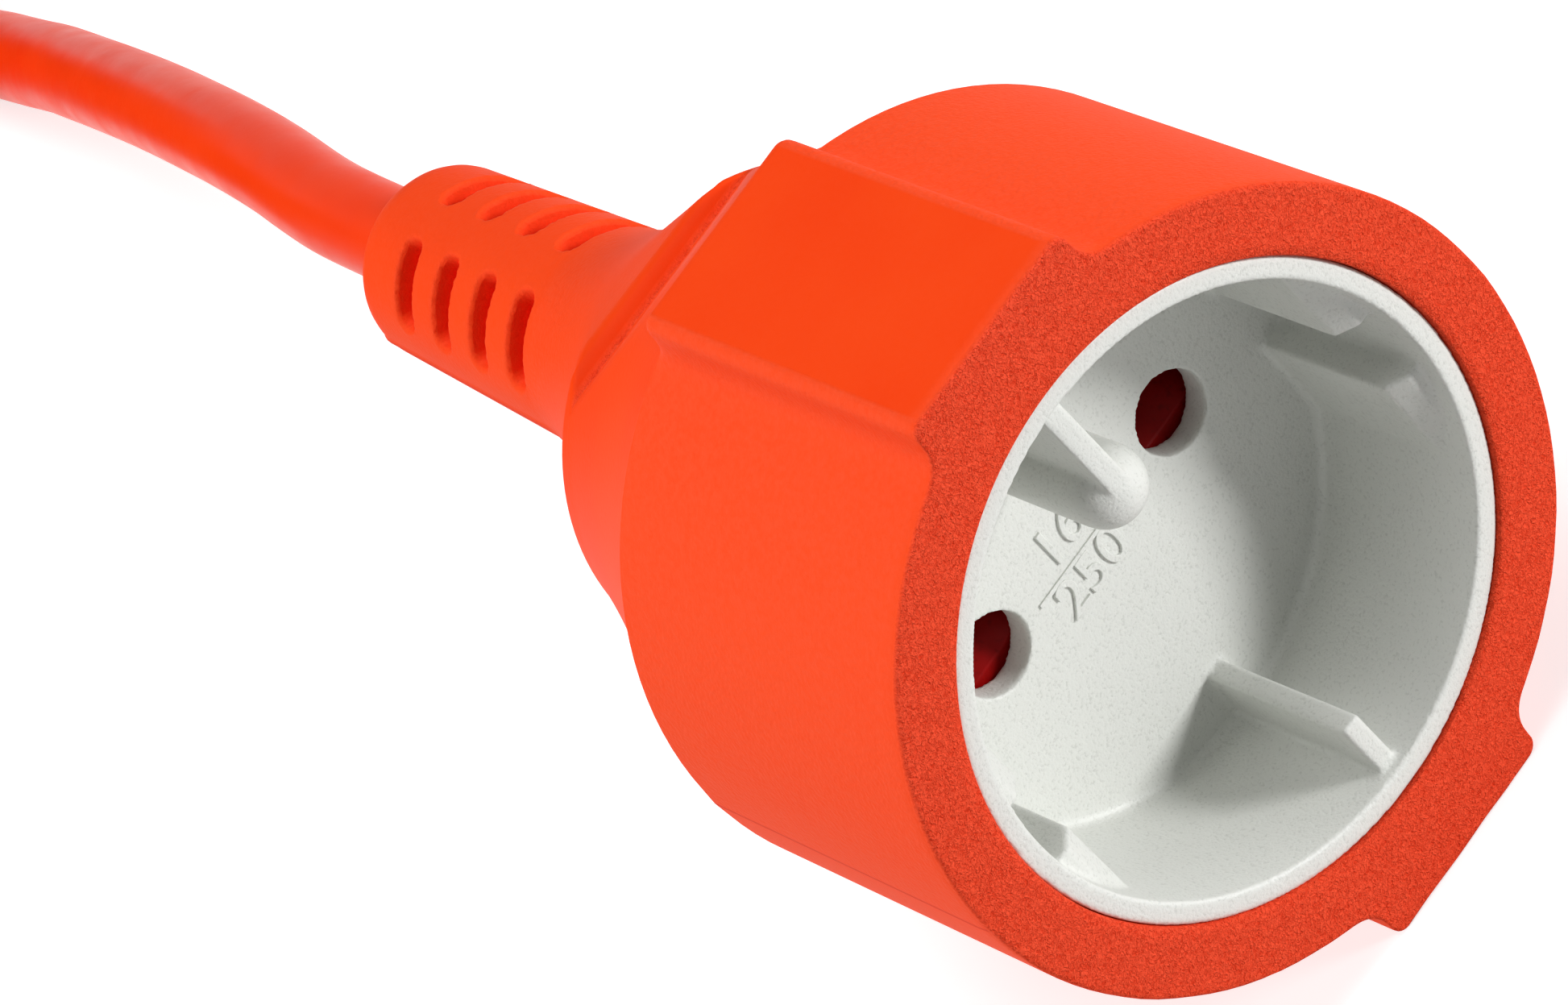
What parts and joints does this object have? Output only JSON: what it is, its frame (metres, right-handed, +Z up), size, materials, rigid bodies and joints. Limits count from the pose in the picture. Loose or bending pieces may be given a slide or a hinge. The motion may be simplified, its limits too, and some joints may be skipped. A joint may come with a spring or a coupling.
{
  "type": "extension cord",
  "caption": "Orange extension cord: a moulded round socket with flat pads, an off-white recessed insert and a slotted strain relief, on a cord coiled under a strap and ending in a plug",
  "frame": {"origin": "middle of the socket's box on the surface it lies on, without the cord and plug", "axes": "+X out of the socket's mouth, +Y along the line through its two pin holes, +Z up"},
  "size_m": [0.2751, 0.0929, 0.0706],
  "materials": {
    "body_pvc": "soft moulded PVC, satin, fine grain, coarse on the mouth's face",
    "insert_plastic": "off-white hard moulding with a fine grain",
    "carrier_plastic": "dark grey hard moulding",
    "shutter_plastic": "dark red, smooth",
    "spring_steel": "drawn wire",
    "contact_brass": "pressed sheet",
    "bare_copper": "bared stranded wire",
    "core_brown": "smooth",
    "core_blue": "smooth",
    "cord_sheath": "satin extruded sheath",
    "strap": "woven hook-and-loop strap",
    "pin_nickel": "nickel plated, bright"
  },
  "bodies": {
    "cord_set": {"socket_body": "body_pvc", "socket_insert": "insert_plastic", "contact_carrier": "carrier_plastic", "shutter_springs_upper": "spring_steel", "shutter_springs_lower": "spring_steel", "contact_line": "contact_brass", "contact_neutral": "contact_brass", "socket_wire_ends": "bare_copper", "socket_core_line": "core_brown", "socket_core_neutral": "core_blue", "socket_cord_end": "cord_sheath", "cord_lead": "cord_sheath", "cord_coil": "cord_sheath", "cord_tail": "cord_sheath", "coil_tie": "strap", "plug_body": "body_pvc", "plug_bridge": "carrier_plastic", "plug_pin_line": "pin_nickel", "plug_pin_neutral": "pin_nickel", "plug_wire_ends": "bare_copper", "plug_core_line": "core_brown", "plug_core_neutral": "core_blue", "plug_cord_end": "cord_sheath"},
    "leaf_upper": {"shutter_upper": "shutter_plastic"},
    "leaf_lower": {"shutter_lower": "shutter_plastic"}
  },
  "joints": [
    {"name": "shutter_upper_slide", "type": "slide", "parent": "cord_set", "child": "leaf_upper", "axis": [0, 0, 1], "range_m": [0, 0.0026], "stiffness_N_per_m": 300, "springref_m": -0.003, "deforming": ["shutter_springs_upper"]},
    {"name": "shutter_lower_slide", "type": "slide", "parent": "cord_set", "child": "leaf_lower", "axis": [0, 0, -1], "range_m": [0, 0.0026], "stiffness_N_per_m": 300, "springref_m": -0.003, "deforming": ["shutter_springs_lower"]}
  ],
  "couplings": [
    {"joint": "shutter_lower_slide", "follows": "shutter_upper_slide", "ratio": 1}
  ]
}
